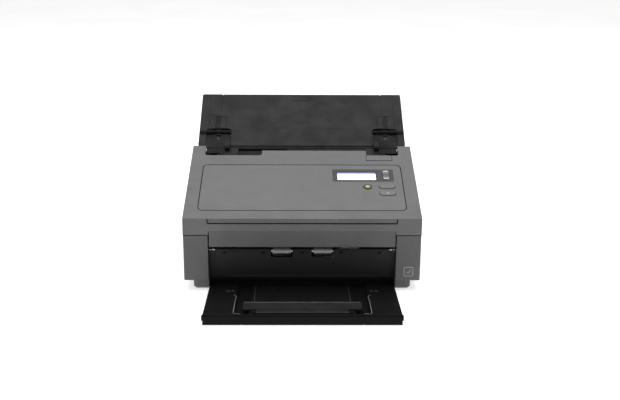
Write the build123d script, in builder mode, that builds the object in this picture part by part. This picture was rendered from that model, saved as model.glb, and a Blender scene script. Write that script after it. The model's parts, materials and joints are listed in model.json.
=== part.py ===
"""A sheet fed document scanner, in millimetres.

The frame has +X to the user's right, +Y to the back and +Z up. Its origin is under the middle
of the bounding box, on the surface that the rubber feet stand on. Depths in this file are
measured from the front face, which lies at y = FRONT_Y.
"""
from build123d import *
import os
from math import acos, atan2, cos, degrees, hypot, pi, radians, sin, sqrt, tan

os.makedirs("parts", exist_ok=True)

# ---------------------------------------------------------------- driving dimensions
HALF_W = 166.5          # half the width of the body
FRONT_Y = -86.4         # the front face, so that the bounding box is centred on the origin
CREASE_Z = 107.7        # edge between the front face and the sloping top
TOP_SLOPE = 17.43       # degrees, rise of the top cover towards the back
PATH_Z = 55.5           # height of the paper path where it crosses the front face
PATH_SLOPE = 30.0       # degrees, rise of the paper path and of the input tray
OUT_Z = 5.8             # height of the output tray's deck at the front face
OUT_SLOPE = -3.8        # degrees, so the deck rises towards the user
SEAM_Z = 82.5           # seam between the base and the cover, at the front
SEAM_GAP = 1.2
SEAM_BREAK_Y = 62.0     # behind this depth the seam climbs with the paper path
EAR_Y = 182.8           # back edge of the cover's ears
BACK_Y = 205.0          # outside of the rear cover
FOOT_H = 1.5
PLATE_Z = 15.3          # underside of the steel base plate
PLATE_T = 2.0
SKIN = 2.5              # wall of the moulded covers
BAY_X = 132.0           # inner faces of the front pillars
FRAME_X = 127.0         # inner faces of the steel side frames
FRAME_T = 2.0
SHAFT_R = 3.0
FIT = 0.05              # radial clearance of a running shaft
SIDES = (-1, 1)

HINGE_Y, HINGE_Z = 5.0, 70.0        # cover hinge
TRAY_C = 215.7                      # path distance of the input tray's lower edge
TRAY_LENGTH = 118.0
TRAY_PIVOT = TRAY_C + 30.0          # path distance of the input tray's hinge
TRAY_PIN_R = 2.0
EXIT_C, FEED_C, PICK_C = 12.7, 90.0, 139.5      # where the rollers touch the paper
EXIT_R, FEED_R, PICK_R = 8.0, 9.0, 11.0
EXIT_PINCH_R, FEED_PINCH_R, BRAKE_R = 4.5, 6.0, 5.5
NIP = 0.3                           # gap between a roller and its partner
LATCH_S, LATCH_H = 156.0, -5.2      # latch bar, on the cover's top surface
CATCH_Y, CATCH_Z = 149.0, 131.0     # steel rod that the latch hooks catch

MODULE = 1.0
PRESSURE = radians(20)
FEED_TEETH, PICK_TEETH, EXIT_TEETH = 24, 24, 20
EXIT_IDLER_TEETH, PICK_IDLER_TEETH, MOTOR_TEETH = 56, 26, 12
GEAR_X = 135.2                      # inner face of the gears, outside the right frame
GEAR_W = 6.0
GUIDE_C = 199.0                     # path distance of the side guides' pinion
GUIDE_TEETH = 12
BACKLASH = 0.17                     # taken off each flank


# ---------------------------------------------------------------- surfaces and places
def tilted(z0, slope, h):
    """The plane through height z0 on the front face, rising by slope, moved h along its normal."""
    a = radians(slope)
    return Plane(origin=(0, FRONT_Y - h * sin(a), z0 + h * cos(a)), x_dir=(1, 0, 0), z_dir=(0, -sin(a), cos(a)))


def level(z):
    """Plan view: sketch y is the depth behind the front face."""
    return tilted(z, 0, 0)


def cover_top(h):
    """The sloping top: sketch y is the distance from the front crease."""
    return tilted(CREASE_Z, TOP_SLOPE, h)


def path(h):
    """The paper path: sketch y is the distance along it from the front face."""
    return tilted(PATH_Z, PATH_SLOPE, h)


def out_top(h):
    """The output tray's deck."""
    return tilted(OUT_Z, OUT_SLOPE, h)


def side(x):
    """Side view: sketch x is the depth behind the front face and sketch y the height."""
    return Plane(origin=(x, FRONT_Y, 0), x_dir=(0, 1, 0), z_dir=(1, 0, 0))


def facing(y):
    """Front view at depth y: its normal points at the user."""
    return Plane(origin=(0, FRONT_Y + y, 0), x_dir=(1, 0, 0), z_dir=(0, -1, 0))


def on_surface(z0, slope, v, h):
    """Depth and height of the point v along a tilted surface and h above it."""
    a = radians(slope)
    return v * cos(a) - h * sin(a), z0 + v * sin(a) + h * cos(a)


def on_path(c, h=0):
    return on_surface(PATH_Z, PATH_SLOPE, c, h)


def on_cover(s, h=0):
    return on_surface(CREASE_Z, TOP_SLOPE, s, h)


def on_out(v, h=0):
    return on_surface(OUT_Z, OUT_SLOPE, v, h)


def path_z(y, h=0):
    """Height of the path, offset by h, at depth y."""
    return PATH_Z + y * tan(radians(PATH_SLOPE)) + h / cos(radians(PATH_SLOPE))


def cover_z(y, h=0):
    return CREASE_Z + y * tan(radians(TOP_SLOPE)) + h / cos(radians(TOP_SLOPE))


def seam_z(y):
    """Height of the seam's lower side at depth y."""
    return SEAM_Z + max(0, y - SEAM_BREAK_Y) * tan(radians(PATH_SLOPE))


def across(s, near, far):
    """The x range from near to far on side s."""
    return sorted((s * near, s * far))


# ---------------------------------------------------------------- shapes
def slab(surface, x0, x1, v0, v1, h0, h1, radius=0, mode=Mode.ADD):
    """A plate that follows a surface: x0 to x1 across, v0 to v1 along and h0 to h1 above it."""
    with BuildSketch(surface(h0)) as plan:
        with Locations(((x0 + x1) / 2, (v0 + v1) / 2)):
            if radius:
                RectangleRounded(x1 - x0, v1 - v0, radius)
            else:
                Rectangle(x1 - x0, v1 - v0)
    extrude(plan.sketch, amount=h1 - h0, mode=mode)


def cut(surface, x0, x1, v0, v1, h0, h1, radius=0):
    slab(surface, x0, x1, v0, v1, h0, h1, radius, Mode.SUBTRACT)


def prism(points, x0, x1, mode=Mode.ADD):
    """A side profile of (depth, height) points, from x0 to x1."""
    with BuildSketch(side(x0)) as section:
        with BuildLine():
            Polyline(*points, close=True)
        make_face()
    extrude(section.sketch, amount=x1 - x0, mode=mode)


def rod(y, z, r, x0, x1, mode=Mode.ADD):
    """A round bar along X."""
    with BuildSketch(side(x0)) as section:
        with Locations((y, z)):
            Circle(r)
    extrude(section.sketch, amount=x1 - x0, mode=mode)


def bore(y, z, r, x0, x1):
    rod(y, z, r, x0, x1, Mode.SUBTRACT)


def disc(surface, x, v, r, h0, h1, mode=Mode.ADD):
    """A round plate or post on a surface."""
    with BuildSketch(surface(h0)) as plan:
        with Locations((x, v)):
            Circle(r)
    extrude(plan.sketch, amount=h1 - h0, mode=mode)


def involute(angle):
    return tan(angle) - angle


def gear(plane, u, v, teeth, tooth_at, width, bore_r):
    """A spur gear centred at (u, v), with one tooth centred on the direction tooth_at."""
    pitch_r = MODULE * teeth / 2
    base_r = pitch_r * cos(PRESSURE)
    root_r = pitch_r - 1.25 * MODULE
    tip_r = pitch_r + 0.95 * MODULE
    half_tooth = pi / (2 * teeth) - BACKLASH / pitch_r + involute(PRESSURE)
    flank = []
    for r in (root_r, max(base_r, root_r + 0.1), pitch_r, (pitch_r + tip_r) / 2, tip_r):
        flank.append((r, half_tooth - involute(acos(min(1, base_r / r)))))
    points = []
    for k in range(teeth):
        centre = tooth_at + 2 * pi * k / teeth
        for r, half in flank:
            points.append((u + r * cos(centre - half), v + r * sin(centre - half)))
        for r, half in reversed(flank):
            points.append((u + r * cos(centre + half), v + r * sin(centre + half)))
    with BuildSketch(plane) as face:
        with BuildLine():
            Polyline(*points, close=True)
        make_face()
        with Locations((u, v)):
            Circle(bore_r, mode=Mode.SUBTRACT)
    extrude(face.sketch, amount=width)


def rack(surface, x0, x1, pitch_line, toward, h0, h1):
    """A toothed bar along X; its teeth point towards +v or -v and a gap is centred at x = 0."""
    step = pi * MODULE
    half = step / 4 - BACKLASH
    lean = tan(PRESSURE)
    root = pitch_line - toward * 1.25 * MODULE
    tip = pitch_line + toward * 0.95 * MODULE
    back = pitch_line - toward * 3.6 * MODULE
    points = [(x0, root)]
    first = int(x0 // step) + 1
    last = int(x1 // step) - 1
    for k in range(first, last + 1):
        x = step * (k + 0.5)
        points.append((x - half - 1.25 * lean, root))
        points.append((x - half + 0.95 * lean, tip))
        points.append((x + half - 0.95 * lean, tip))
        points.append((x + half + 1.25 * lean, root))
    points += [(x1, root), (x1, back), (x0, back)]
    with BuildSketch(surface(h0)) as face:
        with BuildLine():
            Polyline(*points, close=True)
        make_face()
    extrude(face.sketch, amount=h1 - h0)


def meet(a, b, from_a, from_b):
    """The point at the given distances from a and b, on the right-hand side going from a to b."""
    dy, dz = b[0] - a[0], b[1] - a[1]
    span = hypot(dy, dz)
    along = (from_a**2 - from_b**2 + span**2) / (2 * span)
    off = sqrt(from_a**2 - along**2)
    return a[0] + (along * dy + off * dz) / span, a[1] + (along * dz - off * dy) / span


def meshed(driver, driven, driver_teeth, driven_teeth, driver_tooth):
    """Direction of a tooth of the driven gear, given one of the driver's."""
    towards = atan2(driven[1] - driver[1], driven[0] - driver[0])
    turn = driver_teeth / driven_teeth * (driver_tooth - towards)
    return towards + pi - turn - pi / driven_teeth


# ---------------------------------------------------------------- shaft and gear places
EXIT_AT = on_path(EXIT_C, -EXIT_R)
FEED_AT = on_path(FEED_C, -FEED_R)
PICK_AT = on_path(PICK_C, -PICK_R)
EXIT_PINCH_AT = on_path(EXIT_C, EXIT_PINCH_R + NIP)
FEED_PINCH_AT = on_path(FEED_C, FEED_PINCH_R + NIP)
BRAKE_AT = on_path(PICK_C, BRAKE_R + NIP)
TRAY_AT = on_path(TRAY_PIVOT)
LATCH_AT = on_cover(LATCH_S, LATCH_H)
EXIT_IDLER_AT = meet(
    EXIT_AT,
    FEED_AT,
    MODULE * (EXIT_TEETH + EXIT_IDLER_TEETH) / 2,
    MODULE * (FEED_TEETH + EXIT_IDLER_TEETH) / 2,
)
PICK_IDLER_AT = meet(
    FEED_AT,
    PICK_AT,
    MODULE * (FEED_TEETH + PICK_IDLER_TEETH) / 2,
    MODULE * (PICK_TEETH + PICK_IDLER_TEETH) / 2,
)
MOTOR_BEARING = radians(-42)
MOTOR_REACH = MODULE * (EXIT_IDLER_TEETH + MOTOR_TEETH) / 2
MOTOR_AT = (
    EXIT_IDLER_AT[0] + MOTOR_REACH * cos(MOTOR_BEARING),
    EXIT_IDLER_AT[1] + MOTOR_REACH * sin(MOTOR_BEARING),
)
EXIT_IDLER_TOOTH = meshed(FEED_AT, EXIT_IDLER_AT, FEED_TEETH, EXIT_IDLER_TEETH, 0)
EXIT_TOOTH = meshed(EXIT_IDLER_AT, EXIT_AT, EXIT_IDLER_TEETH, EXIT_TEETH, EXIT_IDLER_TOOTH)
MOTOR_TOOTH = meshed(EXIT_IDLER_AT, MOTOR_AT, EXIT_IDLER_TEETH, MOTOR_TEETH, EXIT_IDLER_TOOTH)
PICK_IDLER_TOOTH = meshed(FEED_AT, PICK_IDLER_AT, FEED_TEETH, PICK_IDLER_TEETH, 0)
PICK_TOOTH = meshed(PICK_IDLER_AT, PICK_AT, PICK_IDLER_TEETH, PICK_TEETH, PICK_IDLER_TOOTH)

EXIT_BANDS = [(-41.5, -16), (16, 41.5)]
FEED_BANDS = [(-88, -66), (-38, -14), (14, 38), (66, 88)]
PICK_BANDS = [(-27, -3), (3, 27)]


# ================================================================ base
PLINTH_X = 154.0
BAY_DEPTH = 150.0
GROOVE_Z = (3.2, 6.2)

with BuildPart() as base_plinth:
    slab(level, -PLINTH_X, PLINTH_X, 5, 203, FOOT_H, PLATE_Z, 6)
    chamfer(base_plinth.faces().sort_by(Axis.Z)[0].edges(), 2.5)
    cut(level, -BAY_X, BAY_X, 0, BAY_DEPTH, 0, 20)
    cut(level, -131, 131, 154, 199, 4.5, 20, 2)
    for s in SIDES:
        cut(level, *across(s, 138.5, 150), 10, 199, 4.5, 20, 2)
        cut(level, *across(s, 131, 135.5), 7, 146, *GROOVE_Z)
base_plinth.part.label = "base_plinth"
export_step(base_plinth.part, "parts/base_plinth.step")

FOOT_R = 6.5
PLATE_X = 151.0
with BuildPart() as rubber_feet:
    for x in (-143.5, 143.5):
        for y in (26, 184):
            disc(level, x, y, FOOT_R, 0, FOOT_H)
rubber_feet.part.label = "rubber_feet"
export_step(rubber_feet.part, "parts/rubber_feet.step")

with BuildPart() as base_plate:
    slab(level, -PLATE_X, PLATE_X, 25, 200, PLATE_Z, PLATE_Z + PLATE_T, 3)
    for x in range(-90, 91, 30):
        cut(level, x - 4, x + 4, 60, 90, 15, 18, 3)
base_plate.part.label = "base_plate"
export_step(base_plate.part, "parts/base_plate.step")

PILLAR_BOTTOM, PILLAR_DEPTH = 16.0, 22.6
BACK_TOP_Z = 146.0
INNER_X = HALF_W - SKIN


def side_profile(inset):
    """Outline of a side cover, moved inwards by inset."""
    climb_y = SEAM_BREAK_Y + 0.27 * inset
    top = seam_z(EAR_Y) - 1.15 * inset
    return [
        (inset, PILLAR_BOTTOM + inset),
        (inset, SEAM_Z - inset),
        (climb_y, SEAM_Z - inset),
        (EAR_Y, top),
        (BACK_Y - inset, BACK_TOP_Z - inset),
        (BACK_Y - inset, PILLAR_BOTTOM + inset),
    ]


def side_cover(s):
    """One side of the housing, with the front pillar that the cover hinges on."""
    prism(side_profile(0), *across(s, BAY_X, HALF_W))
    prism(side_profile(SKIN), *across(s, BAY_X + SKIN, INNER_X), Mode.SUBTRACT)
    cut(level, *across(s, BAY_X - 1, 147), PILLAR_DEPTH, BACK_Y + 1, 10, 160)
    cut(level, *across(s, BAY_X - 1, PLATE_X + 0.3), PILLAR_DEPTH, BACK_Y - 4, 10, PLATE_Z + PLATE_T + 0.1)
    bore(HINGE_Y, HINGE_Z, 2.5, *across(s, BAY_X - 1, BAY_X + SKIN + 1))
    bore(*EXIT_AT, SHAFT_R + 0.5, *across(s, BAY_X - 1, BAY_X + SKIN + 1))


with BuildPart() as left_side_cover:
    side_cover(-1)
    fillet(left_side_cover.edges().filter_by(Axis.Z).group_by(Axis.X)[0], 2.2)
left_side_cover.part.label = "left_side_cover"
export_step(left_side_cover.part, "parts/left_side_cover.step")

with BuildPart() as right_side_cover:
    side_cover(1)
    fillet(right_side_cover.edges().filter_by(Axis.Z).group_by(Axis.X)[-1], 2.2)
right_side_cover.part.label = "right_side_cover"
export_step(right_side_cover.part, "parts/right_side_cover.step")

USB_X, JACK_X = -60.0, -95.0
REAR_X = 146.7
PORT_Z = (25.6, 37.0)
with BuildPart() as rear_cover:
    slab(level, -REAR_X, REAR_X, BACK_Y - SKIN, BACK_Y, PLATE_Z + PLATE_T, BACK_TOP_Z - 1)
    for x, half in ((USB_X, 6.5), (JACK_X, 5.4)):
        cut(level, x - half, x + half, BACK_Y - 5, BACK_Y + 5, PORT_Z[0] - 0.4, PORT_Z[1] + 0.4)
    for column in range(9):
        for row in range(2):
            x = 30 + column * 12
            z = 40 + row * 44
            cut(level, x, x + 5, BACK_Y - 5, BACK_Y + 5, z, z + 34)
    cut(level, -130, -100, BACK_Y - 0.8, BACK_Y + 1, 90, 100)
rear_cover.part.label = "rear_cover"
export_step(rear_cover.part, "parts/rear_cover.step")

SCREW_SPOTS = [(-140, 30), (140, 30), (-140, 132), (140, 132)]
with BuildPart() as case_screws:
    for x, z in SCREW_SPOTS:
        with BuildSketch(facing(BACK_Y)) as head:
            with Locations((x, z)):
                Circle(3.4)
                Rectangle(4, 0.9, mode=Mode.SUBTRACT)
                Rectangle(0.9, 4, mode=Mode.SUBTRACT)
        extrude(head.sketch, amount=-1.6)
        with BuildSketch(facing(BACK_Y)) as washer:
            with Locations((x, z)):
                Circle(3.4)
        extrude(washer.sketch, amount=-0.8)
case_screws.part.label = "case_screws"
export_step(case_screws.part, "parts/case_screws.step")

# The stacker wall leans back from the paper exit down to the base plate.
WALL_TOP = (7.5, 60.0)
WALL_FOOT = (20.6, 13.2)
WALL_LEAN = (WALL_FOOT[0] - WALL_TOP[0]) / (WALL_TOP[1] - WALL_FOOT[1])


def wall_y(z):
    return WALL_TOP[0] + (WALL_TOP[1] - z) * WALL_LEAN


RIB_PITCH = 5.8
with BuildPart() as stacker_wall:
    prism(
        [
            WALL_TOP,
            (WALL_TOP[0] + 1.8, WALL_TOP[1] + 0.5),
            (wall_y(50) + 2.0, 50),
            (WALL_FOOT[0] + 2.5, WALL_FOOT[1]),
            WALL_FOOT,
        ],
        -BAY_X + 0.4,
        BAY_X - 0.4,
    )
    for k in range(-22, 23):
        x = k * RIB_PITCH
        prism(
            [
                (wall_y(55) + 0.5, 55),
                (wall_y(55) - 0.9, 55.5),
                (WALL_TOP[0] - 1.6, WALL_TOP[1] + 0.4),
                (WALL_TOP[0] + 0.5, WALL_TOP[1] + 0.4),
            ],
            x - 0.5,
            x + 0.5,
        )
    for x0, x1 in EXIT_BANDS:
        cut(level, x0 - 2.5, x1 + 2.5, -5, 40, 46.5, 62)
stacker_wall.part.label = "stacker_wall"
export_step(stacker_wall.part, "parts/stacker_wall.step")

GUIDE_TRAVEL = 82.0
GUIDE_X = 110.5             # inner face of a side guide's fence, set for letter paper
STEM_X = (104.0, 114.0)
RACK_R = MODULE * GUIDE_TEETH / 2
RACK_H = (-7.0, -4.8)
PINION_POST_R = 2.0
FLOOR_H = (-4.2, -1.2)      # chute floor, below the path
FLOOR_C = (21.5, 211.0)
APRON_C = 200.0             # behind this the floor widens to the ears
APRON_Y = on_path(APRON_C)[0]


def rack_slot(s):
    """Path range of the slot that a guide's stem runs in: the right rack is the front one."""
    centre = GUIDE_C - s * (RACK_R + 2.0)
    return centre - 2.1, centre + 2.1


with BuildPart() as lower_guide:
    slab(path, -125.8, 125.8, *FLOOR_C, *FLOOR_H)
    for s in SIDES:
        slab(path, *across(s, 123, 125.8), 22, 210, -5.6, -4)
    cut(path, -112, 112, 41, 63, -6, 2)
    for x0, x1 in FEED_BANDS:
        cut(path, x0 - 1.5, x1 + 1.5, FEED_C - 10, FEED_C + 10, -6, 2, 1)
    cut(path, -30, 30, PICK_C - 11, PICK_C + 11, -6, 2, 1)
    slab(path, -146.4, 146.4, APRON_C, FLOOR_C[1], *FLOOR_H)
    for s in SIDES:
        inner, outer = across(s, STEM_X[0] - GUIDE_TRAVEL - 1, STEM_X[1] + 1)
        cut(path, inner, outer, *rack_slot(s), -6, 2)
    disc(path, 0, GUIDE_C, PINION_POST_R, -8.5, -4.1)
lower_guide.part.label = "lower_guide"
export_step(lower_guide.part, "parts/lower_guide.step")

SWEEP_R = 31.3              # clear space around the input tray's hinge
ARM_X = (110.7, 148.8)
ARM_H = (-5.0, -1.5)
KNUCKLE_X = (126.5, 133.0)
BARREL_R = 2.4               # hinge barrel between the knuckles, it closes the gap to the tray
HOPPER_X = 146.6
with BuildPart() as hopper:
    start, stop = radians(211), radians(256)
    middle = (start + stop) / 2
    with BuildSketch(side(-HOPPER_X)) as deck:
        with BuildLine():
            ends = []
            for r in (SWEEP_R, SWEEP_R + 3):
                marks = [
                    (TRAY_AT[0] + r * cos(a), TRAY_AT[1] + r * sin(a)) for a in (start, middle, stop)
                ]
                ThreePointArc(*marks)
                ends.append(marks)
            Line(ends[0][0], ends[1][0])
            Line(ends[0][2], ends[1][2])
        make_face()
    extrude(deck.sketch, amount=2 * HOPPER_X)
    for s in SIDES:
        slab(path, *across(s, *ARM_X), TRAY_C - 1.3, TRAY_PIVOT, *ARM_H)
        rod(*TRAY_AT, 3.6, *across(s, *KNUCKLE_X))
        rod(*TRAY_AT, 3.6, *across(s, 138, ARM_X[1]))
        rod(*TRAY_AT, BARREL_R, *across(s, *ARM_X))
        slab(path, *across(s, *KNUCKLE_X), TRAY_PIVOT - 7, TRAY_PIVOT, ARM_H[0], 0)
        foot = (TRAY_AT[0] + 32 * cos(stop - 0.05), TRAY_AT[1] + 32 * sin(stop - 0.05))
        prism([on_path(TRAY_C, -3), on_path(TRAY_PIVOT - 3, -4), foot], *across(s, 114, 120))
        prism([on_path(TRAY_C, -3), on_path(TRAY_PIVOT - 3, -4), foot], *across(s, 138, 144))
        bore(*TRAY_AT, TRAY_PIN_R + FIT, *across(s, 138, 150))
hopper.part.label = "hopper"
export_step(hopper.part, "parts/hopper.step")


def frame_plate(s):
    """A steel side frame with the shaft bores and the bent tab that shows beside the paper exit."""
    bottom = PLATE_Z + PLATE_T
    prism(
        [
            (24.5, bottom),
            (wall_y(45) + 3.8, 45),
            (11.0, 58.5),
            (16.5, path_z(16.5, -1.5)),
            (APRON_Y - 1, path_z(APRON_Y - 1, -1.5)),
            (APRON_Y - 1, path_z(APRON_Y - 1, -4.8)),
            (180.5, path_z(180.5, -4.8)),
            (196, 140),
            (196, bottom),
        ],
        *across(s, FRAME_X, FRAME_X + FRAME_T),
    )
    slab(level, *across(s, 121.5, FRAME_X + FRAME_T), 10.2, 17, 59.2, 60.7)
    for y, z in (EXIT_AT, FEED_AT, PICK_AT):
        bore(y, z, SHAFT_R + FIT, *across(s, FRAME_X - 1, FRAME_X + FRAME_T + 1))


with BuildPart() as left_frame:
    frame_plate(-1)
left_frame.part.label = "left_frame"
export_step(left_frame.part, "parts/left_frame.step")

IDLER_PIN_R = 2.5
MOTOR_SHAFT_R = 1.5
with BuildPart() as right_frame:
    frame_plate(1)
    for y, z in (EXIT_IDLER_AT, PICK_IDLER_AT):
        rod(y, z, IDLER_PIN_R, FRAME_X + FRAME_T - 0.5, GEAR_X + GEAR_W + 1.5)
    bore(*MOTOR_AT, 4, FRAME_X - 1, FRAME_X + FRAME_T + 1)
right_frame.part.label = "right_frame"
export_step(right_frame.part, "parts/right_frame.step")

STAYS = [(40, 26), (186, 100)]
with BuildPart() as cross_stays:
    for y, z in STAYS:
        rod(y, z, 3, -FRAME_X, FRAME_X)
    for s in SIDES:
        rod(CATCH_Y, CATCH_Z, 2.5, *across(s, FRAME_X + FRAME_T, 143))
cross_stays.part.label = "cross_stays"
export_step(cross_stays.part, "parts/cross_stays.step")

SENSOR_C = (40.5, 63.5)
with BuildPart() as lower_sensor_bar:
    slab(path, -114, 114, *SENSOR_C, -17, -4.4)
    slab(path, -111.5, 111.5, 41.5, 62.5, -4.5, -2.9)
    cut(path, -108, 108, 49, 55, -8, 0)
lower_sensor_bar.part.label = "lower_sensor_bar"
export_step(lower_sensor_bar.part, "parts/lower_sensor_bar.step")

with BuildPart() as lower_sensor_glass:
    slab(path, -111.5, 111.5, 41.5, 62.5, -2.9, -1.3)
lower_sensor_glass.part.label = "lower_sensor_glass"
export_step(lower_sensor_glass.part, "parts/lower_sensor_glass.step")

BOARD_Z = 24.0
BOARD_T = 1.6
with BuildPart() as main_board:
    slab(level, -115, 60, 115, 200, BOARD_Z, BOARD_Z + BOARD_T)
    top = BOARD_Z + BOARD_T
    slab(level, -30, 0, 140, 170, top, top + 3)
    slab(level, 15, 33, 130, 148, top, top + 2)
    slab(level, -90, -70, 130, 160, top, top + 9, 2)
    for x in range(10, 51, 13):
        disc(level, x, 175, 4.5, top, top + 11)
    for x in (-108, 53):
        for y in (121, 194):
            disc(level, x, y, 3, PLATE_Z + PLATE_T, BOARD_Z)
main_board.part.label = "main_board"
export_step(main_board.part, "parts/main_board.step")

PORT_FACE = BACK_Y - 0.4
with BuildPart() as usb_port:
    slab(level, USB_X - 6, USB_X + 6, PORT_FACE - 17, PORT_FACE, *PORT_Z)
    cut(level, USB_X - 4.6, USB_X + 4.6, PORT_FACE - 15, PORT_FACE + 1, PORT_Z[0] + 1.4, PORT_Z[1] - 1.4)
    slab(level, USB_X - 2.8, USB_X + 2.8, PORT_FACE - 16, PORT_FACE - 6, 29.7, 32.9)
usb_port.part.label = "usb_port"
export_step(usb_port.part, "parts/usb_port.step")

JACK_Z = 31.3
with BuildPart() as dc_jack:
    slab(level, JACK_X - 5, JACK_X + 5, PORT_FACE - 15, PORT_FACE, *PORT_Z)
    with BuildSketch(facing(PORT_FACE)) as mouth:
        with Locations((JACK_X, JACK_Z)):
            Circle(3.6)
    extrude(mouth.sketch, amount=12, mode=Mode.SUBTRACT)
    with BuildSketch(facing(PORT_FACE - 12.5)) as pin:
        with Locations((JACK_X, JACK_Z)):
            Circle(1.1)
    extrude(pin.sketch, amount=-7)
dc_jack.part.label = "dc_jack"
export_step(dc_jack.part, "parts/dc_jack.step")

MOTOR_R = 18.0
with BuildPart() as main_motor:
    rod(*MOTOR_AT, MOTOR_R, 84, FRAME_X - 1.5)
    rod(*MOTOR_AT, 4, 78, 84)
    rod(*MOTOR_AT, 3.9, FRAME_X - 1.5, FRAME_X + FRAME_T)
    with BuildSketch(side(FRAME_X - 1.5)) as flange:
        with Locations(MOTOR_AT):
            RectangleRounded(42, 42, 5)
    extrude(flange.sketch, amount=1.5)
    rod(*MOTOR_AT, MOTOR_SHAFT_R, FRAME_X, GEAR_X + GEAR_W + 2)
main_motor.part.label = "main_motor"
export_step(main_motor.part, "parts/main_motor.step")

HINGE_PIN_R = 2.5
with BuildPart() as cover_hinge_pins:
    for s in SIDES:
        rod(HINGE_Y, HINGE_Z, HINGE_PIN_R, *across(s, 124.5, BAY_X + SKIN + 1.5))
cover_hinge_pins.part.label = "cover_hinge_pins"
export_step(cover_hinge_pins.part, "parts/cover_hinge_pins.step")

# ================================================================ cover
PANEL_X, PANEL_S = 147.0, (19.5, 136.5)
PANEL_R = 7.5
GROOVE = 0.6
SLOT_X, SLOT_S = 147.0, 162.5
SLOT_R = 5.0
LIP_X = (-60.5, 97.4)
LIP_S = 176.0
TAB_X, TAB_S = (97.4, 135.6), (149.5, 163.0)
BEZEL_X = 130.5
BEZEL_Z = (65.6, 88.5)


def cover_profile(inset):
    """Outline of the top cover in side view, moved inwards by inset except at its open lower edge."""
    lower = SEAM_GAP - (3 if inset else 0)
    return [
        (inset, SEAM_Z + lower),
        (inset, cover_z(inset, -inset)),
        (EAR_Y - inset, cover_z(EAR_Y - inset, -inset)),
        (EAR_Y - inset, seam_z(EAR_Y - inset) + lower),
        (SEAM_BREAK_Y, SEAM_Z + lower),
    ]


with BuildPart() as top_cover:
    prism(cover_profile(0), -HALF_W, HALF_W)
    long_edges = top_cover.faces().sort_by(Axis.Z)[-1].edges()
    fillet(long_edges, 2.2)
    prism(cover_profile(SKIN), -INNER_X, INNER_X, Mode.SUBTRACT)
    for s in SIDES:
        prism(
            [
                (150, cover_z(150, -1)),
                (EAR_Y - 0.5, cover_z(EAR_Y - 0.5, -1)),
                (EAR_Y - 0.5, seam_z(EAR_Y) + SEAM_GAP + 0.5),
                (150, seam_z(150) + SEAM_GAP + 0.5),
            ],
            *across(s, SLOT_X, SLOT_X + 2),
        )
    cut(cover_top, -SLOT_X, LIP_X[0], SLOT_S, 230, -34, 5, SLOT_R)
    cut(cover_top, LIP_X[1], SLOT_X, SLOT_S, 230, -34, 5, SLOT_R)
    cut(cover_top, -SLOT_X, SLOT_X, LIP_S, 230, -34, 5)
    cut(cover_top, TAB_X[0] - 0.6, TAB_X[1] + 0.6, TAB_S[0] - 1.6, SLOT_S + 2, -3, 5)
    cut(cover_top, -PANEL_X, PANEL_X, *PANEL_S, -3, 5, PANEL_R)
    cut(level, -BEZEL_X - 0.3, BEZEL_X + 0.3, -5, 12, 60, BEZEL_Z[1] + 0.2)
    cut(level, -132.5, 132.5, -5, 0.8, 100, 107)
top_cover.part.label = "top_cover"
export_step(top_cover.part, "parts/top_cover.step")

with BuildPart() as front_bezel:
    slab(level, -BEZEL_X + 0.5, BEZEL_X - 0.5, 0, 2.4, *BEZEL_Z)
    fillet(front_bezel.edges().filter_by(Axis.X).group_by(Axis.Z)[0], 0.9)
    slab(level, -BEZEL_X + 3, BEZEL_X - 3, 2.5, 5, 84, 92)
    slab(level, -BEZEL_X + 3, BEZEL_X - 3, 2.3, 2.6, 84, 88)
    for s in SIDES:
        rod(HINGE_Y, HINGE_Z, 4.3, *across(s, 124.5, 129.8))
        slab(level, *across(s, 124.5, 129.8), 2, 7, HINGE_Z, 88)
        bore(HINGE_Y, HINGE_Z, HINGE_PIN_R + FIT, *across(s, 124, 131))
front_bezel.part.label = "front_bezel"
export_step(front_bezel.part, "parts/front_bezel.step")

LCD_BEZEL = (45.0, 134.5, 92.4, 124.3)
LCD = (51.5, 109.0, 96.0, 117.0)
UP_KEY = (118.8, 128.4, 109.0, 120.3)
DOWN_KEY = (118.8, 128.4, 97.0, 108.3)
POWER_X, POWER_S, POWER_R, LENS_R = 95.0, 78.5, 6.4, 4.0
STOP_KEY = (111.5, 134.6, 74.0, 84.0)
START_KEY = (111.5, 134.6, 56.6, 66.6)
KEY_GAP = 0.35
STROKE = 1.0

with BuildPart() as control_panel:
    slab(cover_top, -PANEL_X + GROOVE, PANEL_X - GROOVE, PANEL_S[0] + GROOVE, PANEL_S[1] - GROOVE, -2.6, 0, 7)
    slab(cover_top, -PANEL_X - 2, PANEL_X + 2, PANEL_S[0] - 2, PANEL_S[1] + 2, -4.4, -2.6, PANEL_R)
    cut(cover_top, *LCD_BEZEL, -5, 1, 2)
    for x0, x1, s0, s1 in (STOP_KEY, START_KEY):
        cut(cover_top, x0, x1, s0, s1, -5, 1, 4.9)
    disc(cover_top, POWER_X, POWER_S, POWER_R, -5, 1, Mode.SUBTRACT)
control_panel.part.label = "control_panel"
export_step(control_panel.part, "parts/control_panel.step")

with BuildPart() as lcd_bezel:
    slab(cover_top, LCD_BEZEL[0] + 0.2, LCD_BEZEL[1] - 0.2, LCD_BEZEL[2] + 0.2, LCD_BEZEL[3] - 0.2, -4.4, 0.2, 2)
    cut(cover_top, *LCD, -5, 1, 0.6)
    cut(cover_top, UP_KEY[0], UP_KEY[1], DOWN_KEY[2], UP_KEY[3], -5, 1, 1.5)
lcd_bezel.part.label = "lcd_bezel"
export_step(lcd_bezel.part, "parts/lcd_bezel.step")

with BuildPart() as lcd_screen:
    slab(cover_top, LCD[0] + 0.1, LCD[1] - 0.1, LCD[2] + 0.1, LCD[3] - 0.1, -3.4, -0.4, 0.5)
lcd_screen.part.label = "lcd_screen"
export_step(lcd_screen.part, "parts/lcd_screen.step")

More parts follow.
